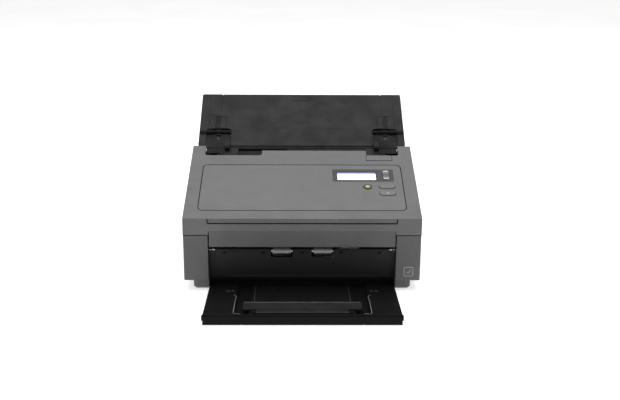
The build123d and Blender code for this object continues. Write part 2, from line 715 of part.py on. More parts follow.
BOARD_H = (-9.4, -7.8)
with BuildPart() as panel_board:
    slab(cover_top, 40, 138, 50, 127, *BOARD_H, 2)
    slab(cover_top, LCD[0] + 2, LCD[1] - 2, LCD[2] + 2, LCD[3] - 2, BOARD_H[1], -3.4)
    for x, s in ((42, 52), (136, 52), (42, 125), (136, 125)):
        disc(cover_top, x, s, 1.8, BOARD_H[1], -4.4)
panel_board.part.label = "panel_board"
export_step(panel_board.part, "parts/panel_board.step")


def key(x0, x1, s0, s1, corner, rise):
    """A key cap with a stem that ends just above its switch on the board."""
    slab(cover_top, x0 + KEY_GAP, x1 - KEY_GAP, s0 + KEY_GAP, s1 - KEY_GAP, -3.6, rise, corner)
    middle = ((x0 + x1) / 2, (s0 + s1) / 2)
    disc(cover_top, *middle, 1.8, BOARD_H[1] + STROKE + 0.2, -3.6)


with BuildPart() as up_key:
    key(*UP_KEY, 1.2, 0.8)
up_key.part.label = "up_key"
export_step(up_key.part, "parts/up_key.step")

with BuildPart() as down_key:
    key(*DOWN_KEY, 1.2, 0.8)
down_key.part.label = "down_key"
export_step(down_key.part, "parts/down_key.step")

with BuildPart() as stop_button:
    key(*STOP_KEY, 4.5, 0.9)
stop_button.part.label = "stop_button"
export_step(stop_button.part, "parts/stop_button.step")

with BuildPart() as start_button:
    key(*START_KEY, 4.5, 0.9)
start_button.part.label = "start_button"
export_step(start_button.part, "parts/start_button.step")

with BuildPart() as power_button:
    disc(cover_top, POWER_X, POWER_S, POWER_R - KEY_GAP, -3.6, 0.8)
    disc(cover_top, POWER_X, POWER_S, LENS_R, -0.6, 1, Mode.SUBTRACT)
    disc(cover_top, POWER_X, POWER_S, 1.8, BOARD_H[1] + STROKE + 0.2, -3.6)
power_button.part.label = "power_button"
export_step(power_button.part, "parts/power_button.step")

with BuildPart() as power_lens:
    disc(cover_top, POWER_X, POWER_S, LENS_R - 0.05, -0.6, 0.7)
power_lens.part.label = "power_lens"
export_step(power_lens.part, "parts/power_lens.step")

CEILING_H = (1.6, 3.6)
CEILING_C = (20.0, 165.0)
RIB_X = (117.5, 120.5)
with BuildPart() as upper_guide:
    slab(path, -125, 125, *CEILING_C, *CEILING_H)
    front_y, back_y = on_path(CEILING_C[0])[0], on_path(CEILING_C[1])[0]
    for s in SIDES:
        prism(
            [
                (front_y, path_z(front_y, 3)),
                (5.2, 88),
                (5.2, cover_z(5.2, -11)),
                (134, cover_z(134, -11)),
                (137, cover_z(137, -SKIN)),
                (back_y - 3, cover_z(back_y - 3, -SKIN)),
                (back_y, cover_z(back_y, -9)),
                (back_y, path_z(back_y, 3)),
            ],
            *across(s, *RIB_X),
        )
    for x0, x1 in EXIT_BANDS:
        for x in (x0 - 3.5, x1 + 1.5):
            prism([(22, 71), (22, 76), (8, 71), (5.5, 67), (7.5, 64), (18, 69)], x, x + 2)
    bore(*EXIT_PINCH_AT, 1.5 + FIT, -60, 60)
    cut(path, -112, 112, 41, 63, 1, 4)
    for x0, x1 in FEED_BANDS:
        cut(path, x0 - 1.5, x1 + 1.5, FEED_C - 7, FEED_C + 7, 1, 4, 1)
        for x in (x0 - 3.5, x1 + 1.5):
            slab(path, x, x + 2, FEED_C - 4, FEED_C + 4, 3, 10)
    bore(*FEED_PINCH_AT, 1.5 + FIT, -100, 100)
    cut(path, -30, 30, PICK_C - 9.5, PICK_C + 9.5, 1, 4, 1)
    for x in (-33, 31):
        slab(path, x, x + 2, PICK_C - 4, PICK_C + 4, 3, 9)
    bore(*BRAKE_AT, 2 + FIT, -40, 40)
upper_guide.part.label = "upper_guide"
export_step(upper_guide.part, "parts/upper_guide.step")

with BuildPart() as upper_sensor_bar:
    slab(path, -114, 114, *SENSOR_C, 4.2, 16)
    slab(path, -111.5, 111.5, 41.5, 62.5, 3.2, 4.4)
    cut(path, -108, 108, 49, 55, 0, 8)
upper_sensor_bar.part.label = "upper_sensor_bar"
export_step(upper_sensor_bar.part, "parts/upper_sensor_bar.step")

with BuildPart() as upper_sensor_glass:
    slab(path, -111.5, 111.5, 41.5, 62.5, 1.7, 3.2)
upper_sensor_glass.part.label = "upper_sensor_glass"
export_step(upper_sensor_glass.part, "parts/upper_sensor_glass.step")

HOOK_X = (137.0, 141.0)
with BuildPart() as release_lever:
    slab(cover_top, *TAB_X, TAB_S[0], TAB_S[1], -2.2, 0, 1.5)
    rod(*LATCH_AT, 2, -141, 141)
    for x in (100, 116, 130):
        slab(cover_top, x, x + 3, LATCH_S - 2, LATCH_S + 2, LATCH_H, -2)
    for s in SIDES:
        prism(
            [
                (LATCH_AT[0], LATCH_AT[1] + 1.8),
                (LATCH_AT[0] + 5, LATCH_AT[1]),
                (LATCH_AT[0] + 5, CATCH_Z - 6.5),
                (CATCH_Y - 1.5, CATCH_Z - 6.5),
                (CATCH_Y - 1.5, CATCH_Z - 3),
                (CATCH_Y + 3, CATCH_Z - 3),
                (CATCH_Y + 3, LATCH_AT[1] - 4),
                (LATCH_AT[0], LATCH_AT[1] - 1.8),
            ],
            *across(s, *HOOK_X),
        )
release_lever.part.label = "release_lever"
export_step(release_lever.part, "parts/release_lever.step")

# ================================================================ rollers and gear train
SHAFT_END = 130.0
GEAR_END = GEAR_X + GEAR_W + 2


def shaft(at):
    rod(*at, SHAFT_R, -SHAFT_END, GEAR_END)


def rollers(at, r, bands):
    """Roller sleeves pressed on a shaft."""
    for x0, x1 in bands:
        rod(*at, r, x0, x1)
        bore(*at, SHAFT_R, x0, x1)


with BuildPart() as feed_shaft:
    shaft(FEED_AT)
feed_shaft.part.label = "feed_shaft"
export_step(feed_shaft.part, "parts/feed_shaft.step")

with BuildPart() as feed_rollers:
    rollers(FEED_AT, FEED_R, FEED_BANDS)
feed_rollers.part.label = "feed_rollers"
export_step(feed_rollers.part, "parts/feed_rollers.step")

with BuildPart() as feed_gear:
    gear(side(GEAR_X), *FEED_AT, FEED_TEETH, 0, GEAR_W, SHAFT_R)
feed_gear.part.label = "feed_gear"
export_step(feed_gear.part, "parts/feed_gear.step")

with BuildPart() as exit_shaft:
    shaft(EXIT_AT)
exit_shaft.part.label = "exit_shaft"
export_step(exit_shaft.part, "parts/exit_shaft.step")

with BuildPart() as exit_rollers:
    rollers(EXIT_AT, EXIT_R, EXIT_BANDS)
exit_rollers.part.label = "exit_rollers"
export_step(exit_rollers.part, "parts/exit_rollers.step")

with BuildPart() as exit_gear:
    gear(side(GEAR_X), *EXIT_AT, EXIT_TEETH, EXIT_TOOTH, GEAR_W, SHAFT_R)
exit_gear.part.label = "exit_gear"
export_step(exit_gear.part, "parts/exit_gear.step")

with BuildPart() as pick_shaft:
    shaft(PICK_AT)
pick_shaft.part.label = "pick_shaft"
export_step(pick_shaft.part, "parts/pick_shaft.step")

with BuildPart() as pick_rollers:
    rollers(PICK_AT, PICK_R, PICK_BANDS)
pick_rollers.part.label = "pick_rollers"
export_step(pick_rollers.part, "parts/pick_rollers.step")

with BuildPart() as pick_gear:
    gear(side(GEAR_X), *PICK_AT, PICK_TEETH, PICK_TOOTH, GEAR_W, SHAFT_R)
pick_gear.part.label = "pick_gear"
export_step(pick_gear.part, "parts/pick_gear.step")

with BuildPart() as exit_idler:
    gear(side(GEAR_X), *EXIT_IDLER_AT, EXIT_IDLER_TEETH, EXIT_IDLER_TOOTH, GEAR_W, IDLER_PIN_R + FIT)
exit_idler.part.label = "exit_idler"
export_step(exit_idler.part, "parts/exit_idler.step")

with BuildPart() as pick_idler:
    gear(side(GEAR_X), *PICK_IDLER_AT, PICK_IDLER_TEETH, PICK_IDLER_TOOTH, GEAR_W, IDLER_PIN_R + FIT)
pick_idler.part.label = "pick_idler"
export_step(pick_idler.part, "parts/pick_idler.step")

with BuildPart() as motor_pinion:
    gear(side(GEAR_X), *MOTOR_AT, MOTOR_TEETH, MOTOR_TOOTH, GEAR_W, MOTOR_SHAFT_R + FIT)
motor_pinion.part.label = "motor_pinion"
export_step(motor_pinion.part, "parts/motor_pinion.step")


def pressed_rollers(at, r, pin_r, bands, overhang):
    """Rollers moulded on a thin axle, carried by the upper guide."""
    rod(*at, pin_r, bands[0][0] - overhang, bands[-1][1] + overhang)
    for x0, x1 in bands:
        rod(*at, r, x0, x1)


with BuildPart() as exit_pinch_rollers:
    pressed_rollers(EXIT_PINCH_AT, EXIT_PINCH_R, 1.5, EXIT_BANDS, 5)
exit_pinch_rollers.part.label = "exit_pinch_rollers"
export_step(exit_pinch_rollers.part, "parts/exit_pinch_rollers.step")

with BuildPart() as feed_pinch_rollers:
    pressed_rollers(FEED_PINCH_AT, FEED_PINCH_R, 1.5, FEED_BANDS, 5)
feed_pinch_rollers.part.label = "feed_pinch_rollers"
export_step(feed_pinch_rollers.part, "parts/feed_pinch_rollers.step")

with BuildPart() as brake_roller:
    pressed_rollers(BRAKE_AT, BRAKE_R, 2, [(-28, 28)], 7)
brake_roller.part.label = "brake_roller"
export_step(brake_roller.part, "parts/brake_roller.step")

# ================================================================ side guides
FENCE_X = (GUIDE_X, GUIDE_X + 7.5)
FENCE_C = (204.0, TRAY_C + 5.4)


def side_guide(s):
    """A paper guide: a sloping fence, a foot on the chute floor, a stem and a rack below it."""
    first = rack_slot(s)
    with BuildSketch(side(across(s, *FENCE_X)[0])) as fence:
        with BuildLine():
            Polyline(
                on_path(FENCE_C[0], 0.5),
                on_path(FENCE_C[1], 0.5),
                on_path(FENCE_C[1], 4.6),
                on_path(FENCE_C[0] + 3, 8.2),
                on_path(FENCE_C[0], 6.5),
                close=True,
            )
        make_face()
    extrude(fence.sketch, amount=FENCE_X[1] - FENCE_X[0])
    slab(path, *across(s, 98, FENCE_X[1]), 188.5, 209.5, -1.0, 0.6, 1)
    slab(path, *across(s, *STEM_X), first[0] + 0.3, first[1] - 0.3, RACK_H[1], -0.9)
    inner, outer = across(s, -8, STEM_X[1])
    rack(path, inner, outer, GUIDE_C - s * RACK_R, s, *RACK_H)


with BuildPart() as left_guide:
    side_guide(-1)
left_guide.part.label = "left_guide"
export_step(left_guide.part, "parts/left_guide.step")

with BuildPart() as right_guide:
    side_guide(1)
right_guide.part.label = "right_guide"
export_step(right_guide.part, "parts/right_guide.step")

with BuildPart() as guide_pinion:
    gear(path(RACK_H[0]), 0, GUIDE_C, GUIDE_TEETH, pi / 2, RACK_H[1] - RACK_H[0], PINION_POST_R + FIT)
guide_pinion.part.label = "guide_pinion"
export_step(guide_pinion.part, "parts/guide_pinion.step")

# ================================================================ input tray
TRAY_X = 160.0
CUTOUT_X = (110.3, 149.2)
EXTENSION_X = 128.0
EXTENSION_D = 39.2
TRAY_TOP = TRAY_C + TRAY_LENGTH

with BuildPart() as input_tray:
    slab(path, -TRAY_X, TRAY_X, TRAY_C, TRAY_TOP, -5, 0, 3)
    for s in SIDES:
        rod(*TRAY_AT, 4.2, *across(s, CUTOUT_X[1] - 1, TRAY_X - 0.5))
        cut(path, *across(s, *CUTOUT_X), TRAY_C - 20, TRAY_C + 38, -12, 12, 5)
        bore(*TRAY_AT, TRAY_PIN_R, *across(s, 140, 157))
        slab(path, *across(s, *CUTOUT_X), TRAY_C + 35, TRAY_C + 38.5, -5, -3)
        slab(path, *across(s, 108.5, CUTOUT_X[0]), TRAY_C, TRAY_C + 27, -7.2, -4.9)
        slab(path, *across(s, 108.5, 113.3), TRAY_C, TRAY_C + 27, -7.2, -5.3)
        slab(path, *across(s, CUTOUT_X[1], 151), TRAY_C, TRAY_C + 27, -7.2, -4.9)
        slab(path, *across(s, 146.4, 151), TRAY_C, TRAY_C + 27, -7.2, -5.3)
    cut(path, -EXTENSION_X, EXTENSION_X, TRAY_C + EXTENSION_D, TRAY_TOP + 10, -2.9, 1)
    cut(path, -EXTENSION_X - 2, EXTENSION_X + 2, TRAY_C + EXTENSION_D, TRAY_TOP + 10, -2.9, -1.6)
    cut(path, -156, 156, TRAY_C + 46, TRAY_TOP - 4, -6, -4)
input_tray.part.label = "input_tray"
export_step(input_tray.part, "parts/input_tray.step")

with BuildPart() as tray_hinge_pins:
    for s in SIDES:
        rod(*TRAY_AT, TRAY_PIN_R, *across(s, 139, 156.5))
tray_hinge_pins.part.label = "tray_hinge_pins"
export_step(tray_hinge_pins.part, "parts/tray_hinge_pins.step")

NOTCH = 3.0
with BuildPart() as input_extension:
    slab(path, -127.7, 127.7, TRAY_C + EXTENSION_D + 0.3, TRAY_TOP - 0.3, -2.7, -0.1)
    slab(path, -129.7, 129.7, TRAY_C + EXTENSION_D + 0.3, TRAY_TOP - 0.3, -2.7, -1.8)
    for s in SIDES:
        with BuildSketch(path(-4)) as notch:
            with Locations((s * 129.7, TRAY_TOP)):
                Circle(NOTCH)
        extrude(notch.sketch, amount=5, mode=Mode.SUBTRACT)
input_extension.part.label = "input_extension"
export_step(input_extension.part, "parts/input_extension.step")

# ================================================================ output tray
OUT_X = 131.0
WELL_X = 91.0
WELL_BACK = 13.0
LIP = [(-110.5, 0.6), (-110.5, 13.2), (-112, 14.4), (-114.5, 14.2), (-116.2, 11.5), (-116.2, 0.6)]
LIP_SPLIT = 80.7
RIB_TOP = -1.5
TONGUE_H = (-3.2, -2.3)

with BuildPart() as output_tray:
    slab(out_top, -OUT_X, OUT_X, -110.8, 33, -2.2, 0)
    for s in SIDES:
        prism([(33, 1), (33, 3), (-110.6, 12.6), (-110.6, 0.6)], *across(s, OUT_X - 2.4, OUT_X))
    cut(out_top, -WELL_X, WELL_X, -112, WELL_BACK, -3, 1)
    slab(level, -WELL_X - 1, WELL_X + 1, -106, WELL_BACK + 1, 0.7, 2.0)
    skirt = [(WELL_BACK + 1, 0.7), (WELL_BACK + 1, 4.6), (-110.6, 12.8), (-110.6, 0.7)]
    for s in SIDES:
        prism(skirt, *across(s, WELL_X - 0.8, WELL_X + 1))
        prism(
            [(WELL_BACK, 0.7), on_out(WELL_BACK, RIB_TOP), on_out(-106, RIB_TOP), (-106, 0.7)],
            *across(s, 67.3, 70.5),
        )
        cut(out_top, *across(s, 66, 68.8), -112, 7, TONGUE_H[0] - 0.2, TONGUE_H[1] + 0.2)
        prism(LIP, *across(s, LIP_SPLIT, OUT_X))
        slab(level, *across(s, OUT_X - 1, OUT_X + 1.4), -115.4, -111, 6.2, 12.4)
        slab(level, *across(s, OUT_X - 2, BAY_X + 3), 9, 31, 3.5, 5.9)
        slab(level, *across(s, OUT_X - 20, OUT_X), 9, 31, 2.4, 3.4)
    slab(level, -WELL_X, WELL_X, WELL_BACK - 1, WELL_BACK + 1.5, 0.7, 4.4)
output_tray.part.label = "output_tray"
export_step(output_tray.part, "parts/output_tray.step")

STOP_V = -103.5             # stopper hinge, along the deck
STOP_AT = on_out(STOP_V, -0.4)
STOP_PIN_R = 0.9
with BuildPart() as output_extension:
    slab(out_top, -67, 67, -106, 5, -3.2, -0.3)
    slab(out_top, -68.5, 68.5, -103, 5, *TONGUE_H)
    slab(out_top, -66, 66, -112, -104, -3.2, -1.6)
    cut(out_top, -80, 80, -94, -64, -1.5, 1)
    cut(out_top, -61.5, 61.5, -105.2, -93, -1.7, 1)
    prism(LIP, -LIP_SPLIT + 0.3, LIP_SPLIT - 0.3)
    for s in SIDES:
        rod(*STOP_AT, 1.6, *across(s, 61.5, 66))
    bore(*STOP_AT, STOP_PIN_R + FIT, -64.5, 64.5)
output_extension.part.label = "output_extension"
export_step(output_extension.part, "parts/output_extension.step")

with BuildPart() as output_stopper:
    slab(out_top, -79.5, 79.5, -93, -64.5, -1.2, 0.7)
    slab(out_top, -61, 61, STOP_V, -92, -1.2, 0.4)
    rod(*STOP_AT, 1.2, -61, 61)
    rod(*STOP_AT, STOP_PIN_R, -64, 64)
output_stopper.part.label = "output_stopper"
export_step(output_stopper.part, "parts/output_stopper.step")
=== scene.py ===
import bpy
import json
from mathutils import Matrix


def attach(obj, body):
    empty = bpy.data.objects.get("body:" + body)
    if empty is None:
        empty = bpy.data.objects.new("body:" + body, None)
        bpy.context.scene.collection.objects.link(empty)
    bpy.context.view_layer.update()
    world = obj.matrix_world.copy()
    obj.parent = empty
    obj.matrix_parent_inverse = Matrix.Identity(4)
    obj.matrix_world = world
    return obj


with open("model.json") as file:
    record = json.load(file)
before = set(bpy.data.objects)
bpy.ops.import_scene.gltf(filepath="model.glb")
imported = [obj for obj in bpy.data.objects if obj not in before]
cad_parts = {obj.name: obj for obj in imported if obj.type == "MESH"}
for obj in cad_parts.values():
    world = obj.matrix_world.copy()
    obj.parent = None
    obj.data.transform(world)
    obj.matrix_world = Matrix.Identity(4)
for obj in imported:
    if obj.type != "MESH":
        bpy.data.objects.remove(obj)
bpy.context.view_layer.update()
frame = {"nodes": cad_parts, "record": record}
import bmesh
import bpy
import json
from math import cos, pi, radians, sin
from mathutils import Matrix, Vector

# ------------------------------------------------------------------ places, in millimetres and degrees
MM_PER_M = 1000
FRONT_Y = -86.4
CREASE_Z, TOP_SLOPE = 107.7, 17.43
PATH_Z, PATH_SLOPE = 55.5, 30.0
OUT_Z, OUT_SLOPE = 5.8, -3.8
WALL_Y, WALL_TOP, WALL_LEAN = 7.5, 60, 0.28
LIP_Y, REAR_Y = -116.2, 205
# Along the path: where the input tray's places are measured from, and its hinge line.
TRAY_C, HINGE_C = 215.7, 245.7
SIDES = ((-1, "left"), (1, "right"))


def tilted(z0, slope):
    """Maps (across, along, above) on a tilted surface to the row frame, in metres."""
    a = radians(slope)

    def place(x, v, h):
        return Vector((x, FRONT_Y + v * cos(a) - h * sin(a), z0 + v * sin(a) + h * cos(a))) / MM_PER_M

    return place


def upright(z0, y0):
    """Maps (across, up, out) on an upright face that looks along -Y."""

    def place(x, v, h):
        return Vector((x, FRONT_Y + y0 - h, z0 + v)) / MM_PER_M

    return place


def rearward(y0):
    """Maps (across, up, out) on an upright face that looks along +Y."""

    def place(x, v, h):
        return Vector((-x, FRONT_Y + y0 + h, v)) / MM_PER_M

    return place


def wall(x, v, h):
    """Maps (across, up, out) on the leaning wall of the paper bay to the row frame."""
    return Vector((x, FRONT_Y + WALL_Y + (WALL_TOP - v) * WALL_LEAN - h, v)) / MM_PER_M


level = tilted(0, 0)
cover_top = tilted(CREASE_Z, TOP_SLOPE)
path = tilted(PATH_Z, PATH_SLOPE)
out_top = tilted(OUT_Z, OUT_SLOPE)
front = upright(0, 0)
lip_front = upright(0, LIP_Y)
rear = rearward(REAR_Y)


# ------------------------------------------------------------------ materials
# The Mix node's colour sockets have no names of their own, so they are found by number.
MIX_A, MIX_B, MIX_OUT = 6, 7, 2
LCD_BAND_V = 111.4


class Look:
    """A procedural material under construction."""

    def __init__(self, name):
        self.material = bpy.data.materials.new(name)
        self.material.use_nodes = True
        self.nodes = self.material.node_tree.nodes
        self.links = self.material.node_tree.links
        self.shader = self.nodes["Principled BSDF"]
        coordinates = self.nodes.new("ShaderNodeTexCoord")
        self.at = coordinates.outputs["Object"]

    def stretched(self, scale):
        mapping = self.nodes.new("ShaderNodeMapping")
        mapping.inputs["Scale"].default_value = scale
        self.links.new(self.at, mapping.inputs["Vector"])
        return mapping.outputs["Vector"]

    def noise(self, scale, detail=3, stretch=None):
        node = self.nodes.new("ShaderNodeTexNoise")
        node.inputs["Scale"].default_value = scale
        node.inputs["Detail"].default_value = detail
        self.links.new(self.stretched(stretch) if stretch else self.at, node.inputs["Vector"])
        return node.outputs["Fac"]

    def spread(self, value, low, high, start=0.35, end=0.65):
        node = self.nodes.new("ShaderNodeMapRange")
        node.inputs["From Min"].default_value = start
        node.inputs["From Max"].default_value = end
        node.inputs["To Min"].default_value = low
        node.inputs["To Max"].default_value = high
        self.links.new(value, node.inputs["Value"])
        return node.outputs["Result"]

    def mix(self, factor, a, b):
        node = self.nodes.new("ShaderNodeMix")
        node.data_type = "RGBA"
        self.links.new(factor, node.inputs["Factor"])
        for socket, colour in ((node.inputs[MIX_A], a), (node.inputs[MIX_B], b)):
            if isinstance(colour, tuple):
                socket.default_value = (*colour, 1)
            else:
                self.links.new(colour, socket)
        return node.outputs[MIX_OUT]

    def colour(self, socket):
        self.links.new(socket, self.shader.inputs["Base Color"])

    def roughness(self, socket):
        self.links.new(socket, self.shader.inputs["Roughness"])

    def bump(self, height, strength, distance=0.0002):
        node = self.nodes.new("ShaderNodeBump")
        node.inputs["Strength"].default_value = strength
        node.inputs["Distance"].default_value = distance
        self.links.new(height, node.inputs["Height"])
        self.links.new(node.outputs["Normal"], self.shader.inputs["Normal"])


def shade(colour, factor):
    return tuple(min(1, c * factor) for c in colour)


def plastic(name, colour, rough, grain=2600, depth=0.25, dust=0.5, shine=0.45):
    """Moulded plastic: a fine spark-eroded grain, uneven gloss, faint scuffs and a little dust."""
    look = Look(name)
    broad = look.noise(14, 4)
    scuff = look.spread(look.noise(90, 8, (1, 3.5, 1)), 0, 1, 0.58, 0.74)
    base = look.mix(look.spread(broad, 0, 1), shade(colour, 0.98), shade(colour, 1.02))
    worn = look.mix(look.spread(look.noise(320, 5), 0, 0.35 * dust, 0.5, 0.75), base, shade(colour, 1.5))
    look.colour(look.mix(scuff, worn, shade(colour, 1.12)))
    look.roughness(look.spread(look.noise(40, 6), rough - 0.07, rough + 0.09))
    look.bump(look.noise(grain, 2), depth, 0.00012)
    look.shader.inputs["Specular IOR Level"].default_value = shine
    return look.material


def gloss(name, colour, rough=0.18):
    look = Look(name)
    look.colour(look.mix(look.spread(look.noise(30, 4), 0, 1), shade(colour, 0.95), shade(colour, 1.04)))
    look.roughness(look.spread(look.noise(120, 6), rough - 0.06, rough + 0.1))
    look.bump(look.noise(500, 2), 0.05)
    return look.material


def metal(name, colour, rough, stretch=(1, 60, 60)):
    """Brushed or turned metal, with its grain along X unless stretch says otherwise."""
    look = Look(name)
    grain = look.noise(60, 6, stretch)
    look.colour(look.mix(look.spread(grain, 0, 1), shade(colour, 0.86), shade(colour, 1.08)))
    stain = look.spread(look.noise(25, 5), 0, 0.12)
    add = look.nodes.new("ShaderNodeMath")
    look.links.new(look.spread(grain, rough - 0.08, rough + 0.08), add.inputs[0])
    look.links.new(stain, add.inputs[1])
    look.roughness(add.outputs[0])
    look.bump(grain, 0.12, 0.0001)
    look.shader.inputs["Metallic"].default_value = 1
    return look.material


def rubber(name, colour, rough=0.75):
    look = Look(name)
    look.colour(look.mix(look.spread(look.noise(60, 6), 0, 1), shade(colour, 0.8), shade(colour, 1.35)))
    look.roughness(look.spread(look.noise(150, 5), rough - 0.1, rough + 0.12))
    look.bump(look.noise(1800, 4), 0.5, 0.00025)
    return look.material


def display(name):
    """A pale backlit window with a soft lilac band along its upper edge."""
    look = Look(name)
    split = look.nodes.new("ShaderNodeSeparateXYZ")
    look.links.new(look.at, split.inputs[0])
    edge = cover_top(0, LCD_BAND_V, 0).z
    band = look.spread(split.outputs["Z"], 0, 1, edge - 0.0001, edge + 0.0002)
    face = look.mix(look.spread(look.noise(900, 2), 0, 1), (0.90, 0.91, 0.95), (0.96, 0.97, 0.99))
    tint = look.mix(band, face, (0.24, 0.24, 0.55))
    look.colour(tint)
    look.links.new(tint, look.shader.inputs["Emission Color"])
    look.shader.inputs["Emission Strength"].default_value = 0.55
    look.roughness(look.spread(look.noise(60, 5), 0.1, 0.22))
    look.bump(look.noise(400, 2), 0.04)
    return look.material


def lamp(name, colour, strength):
    look = Look(name)
    tint = look.mix(look.spread(look.noise(400, 3), 0, 1), shade(colour, 0.85), shade(colour, 1.1))
    look.colour(tint)
    look.links.new(tint, look.shader.inputs["Emission Color"])
    look.shader.inputs["Emission Strength"].default_value = strength
    look.roughness(look.spread(look.noise(200, 3), 0.2, 0.35))
    look.bump(look.noise(700, 2), 0.1)
    return look.material


def circuit(name):
    """Green solder mask with copper tracks showing through."""
    look = Look(name)
    tracks = look.nodes.new("ShaderNodeTexBrick")
    tracks.inputs["Scale"].default_value = 120
    tracks.inputs["Mortar Size"].default_value = 0.03
    tracks.inputs["Color1"].default_value = (0.01, 0.10, 0.04, 1)
    tracks.inputs["Color2"].default_value = (0.015, 0.13, 0.05, 1)
    tracks.inputs["Mortar"].default_value = (0.05, 0.26, 0.10, 1)
    look.links.new(look.at, tracks.inputs["Vector"])
    look.colour(tracks.outputs["Color"])
    look.roughness(look.spread(look.noise(80, 4), 0.25, 0.42))
    look.bump(tracks.outputs["Fac"], 0.2, 0.0001)
    return look.material


def clear(name):
    look = Look(name)
    look.colour(look.mix(look.spread(look.noise(20, 3), 0, 1), (0.10, 0.13, 0.14), (0.14, 0.17, 0.18)))
    look.roughness(look.spread(look.noise(70, 5), 0.05, 0.16))
    look.bump(look.noise(300, 2), 0.03)
    look.shader.inputs["Alpha"].default_value = 0.75
    return look.material


LOOKS = {
    "cover_grey": plastic("cover_grey", (0.122, 0.122, 0.125), 0.52),
    "panel_grey": plastic("panel_grey", (0.126, 0.126, 0.129), 0.48),
    "bezel_grey": plastic("bezel_grey", (0.092, 0.092, 0.095), 0.48),
    "body_grey": plastic("body_grey", (0.092, 0.092, 0.095), 0.52),
    "tray_dark": plastic("tray_dark", (0.0135, 0.0137, 0.0144), 0.55, dust=0.2, shine=0.15),
    "tray_black": plastic("tray_black", (0.0068, 0.0068, 0.0073), 0.46, depth=0.2, dust=0.8, shine=0.06),
    "inner_black": plastic("inner_black", (0.0075, 0.0075, 0.008), 0.58, shine=0.12),
    "lcd_frame": gloss("lcd_frame", (0.026, 0.0265, 0.030), 0.42),
    "lcd_glass": display("lcd_glass"),
    "key_grey": plastic("key_grey", (0.142, 0.142, 0.145), 0.42),
    "lens_green": lamp("lens_green", (0.42, 0.55, 0.05), 0.35),
    "power_dark": gloss("power_dark", (0.03, 0.03, 0.033), 0.3),
    "steel": metal("steel", (0.58, 0.59, 0.60), 0.34),
    "shaft_steel": metal("shaft_steel", (0.70, 0.70, 0.71), 0.2),
    "roller_silver": metal("roller_silver", (0.27, 0.27, 0.275), 0.32),
    "roller_rubber": rubber("roller_rubber", (0.022, 0.022, 0.024)),
    "gear_white": plastic("gear_white", (0.72, 0.70, 0.64), 0.45, dust=0.1),
    "board_green": circuit("board_green"),
    "port_metal": metal("port_metal", (0.66, 0.66, 0.67), 0.26),
    "port_black": plastic("port_black", (0.014, 0.014, 0.015), 0.45),
    "motor_metal": metal("motor_metal", (0.34, 0.34, 0.36), 0.4),
    "sensor_black": plastic("sensor_black", (0.011, 0.011, 0.012), 0.4),
    "sensor_glass": clear("sensor_glass"),
    "foot_rubber": rubber("foot_rubber", (0.012, 0.012, 0.013)),
    "screw_steel": metal("screw_steel", (0.36, 0.36, 0.38), 0.35, (60, 60, 1)),
    "pin_dark": metal("pin_dark", (0.05, 0.05, 0.055), 0.4),
}
STRIP_WHITE = plastic("strip_white", (0.80, 0.80, 0.78), 0.5, dust=0)
FRAME_STEEL = metal("frame_steel", (0.06, 0.06, 0.064), 0.5)
WALL_BLACK = plastic("wall_black", (0.031, 0.031, 0.032), 0.5, dust=0.6, shine=0.2)
BAY_EDGE = plastic("bay_edge", (0.075, 0.075, 0.077), 0.5, shine=0.2)
# Nodes that look unlike their slot. The frames' slot is bright steel, and they are dark here because
# their tops showed as white dots.
NODE_LOOKS = {
    "left_frame": FRAME_STEEL,
    "right_frame": FRAME_STEEL,
    "stacker_wall": WALL_BLACK,
    "output_stopper": plastic("stopper_black", (0.0145, 0.0145, 0.0155), 0.42, dust=0.8, shine=0.28),
}
MARK_PALE = plastic("mark_pale", (0.52, 0.53, 0.53), 0.55, dust=0)
# Pale grey beads on the black output tray: painted highlights along glossy rims, edges and ridges.
RIM_HIGHLIGHT = gloss("rim_highlight", (0.20, 0.20, 0.205), 0.3)
# Dark beads: painted shadow in the gap round the keys, and the printed power symbol on the power button.
RIM_SHADE_AND_PRINT = gloss("rim_shade_and_print", (0.022, 0.022, 0.024), 0.45)

NODE_SLOT = {p["node"]: p["material_slot"] for p in frame["record"]["subparts"]}
ROUNDED = {
    "top_cover": 0.7,
    "front_bezel": 0.5,
    "control_panel": 0.4,
    "left_side_cover": 0.7,
    "right_side_cover": 0.7,
    "base_plinth": 0.6,
    "rear_cover": 0.4,
    "input_tray": 0.6,
    "input_extension": 0.4,
    "output_tray": 0.5,
    "output_extension": 0.4,
    "output_stopper": 0.4,
    "hopper": 0.5,
    "stacker_wall": 0.2,
    "left_guide": 0.4,
    "right_guide": 0.4,
    "start_button": 0.35,
    "stop_button": 0.35,
    "up_key": 0.35,
    "down_key": 0.35,
    "power_button": 0.35,
    "lcd_bezel": 0.25,
    "release_lever": 0.35,
}


BEVEL_FROM = 35


def soften(piece, width_mm, segments=3):
    """Rounds the edges of a piece where its faces meet at more than BEVEL_FROM degrees."""
    bevel = piece.modifiers.new("edges", "BEVEL")
    bevel.width = width_mm / MM_PER_M
    bevel.segments = segments
    bevel.limit_method = "ANGLE"
    bevel.angle_limit = radians(BEVEL_FROM)
    bevel.use_clamp_overlap = True
    bevel.harden_normals = False


for name, node in frame["nodes"].items():
    node.data.materials.clear()
    node.data.materials.append(NODE_LOOKS.get(name, LOOKS[NODE_SLOT[name]]))
    if name in ROUNDED:
        soften(node, ROUNDED[name])


# ------------------------------------------------------------------ mesh helpers
BEAD_SIDES = 8


def finish_piece(mesh, name, body, look, smooth=False):
    bmesh.ops.recalc_face_normals(mesh, faces=mesh.faces)
    data = bpy.data.meshes.new(name)
    mesh.to_mesh(data)
    mesh.free()
    for face in data.polygons:
        face.use_smooth = smooth
    data.materials.append(look)
    piece = bpy.data.objects.new(name, data)
    bpy.context.scene.collection.objects.link(piece)
    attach(piece, body)
    return piece


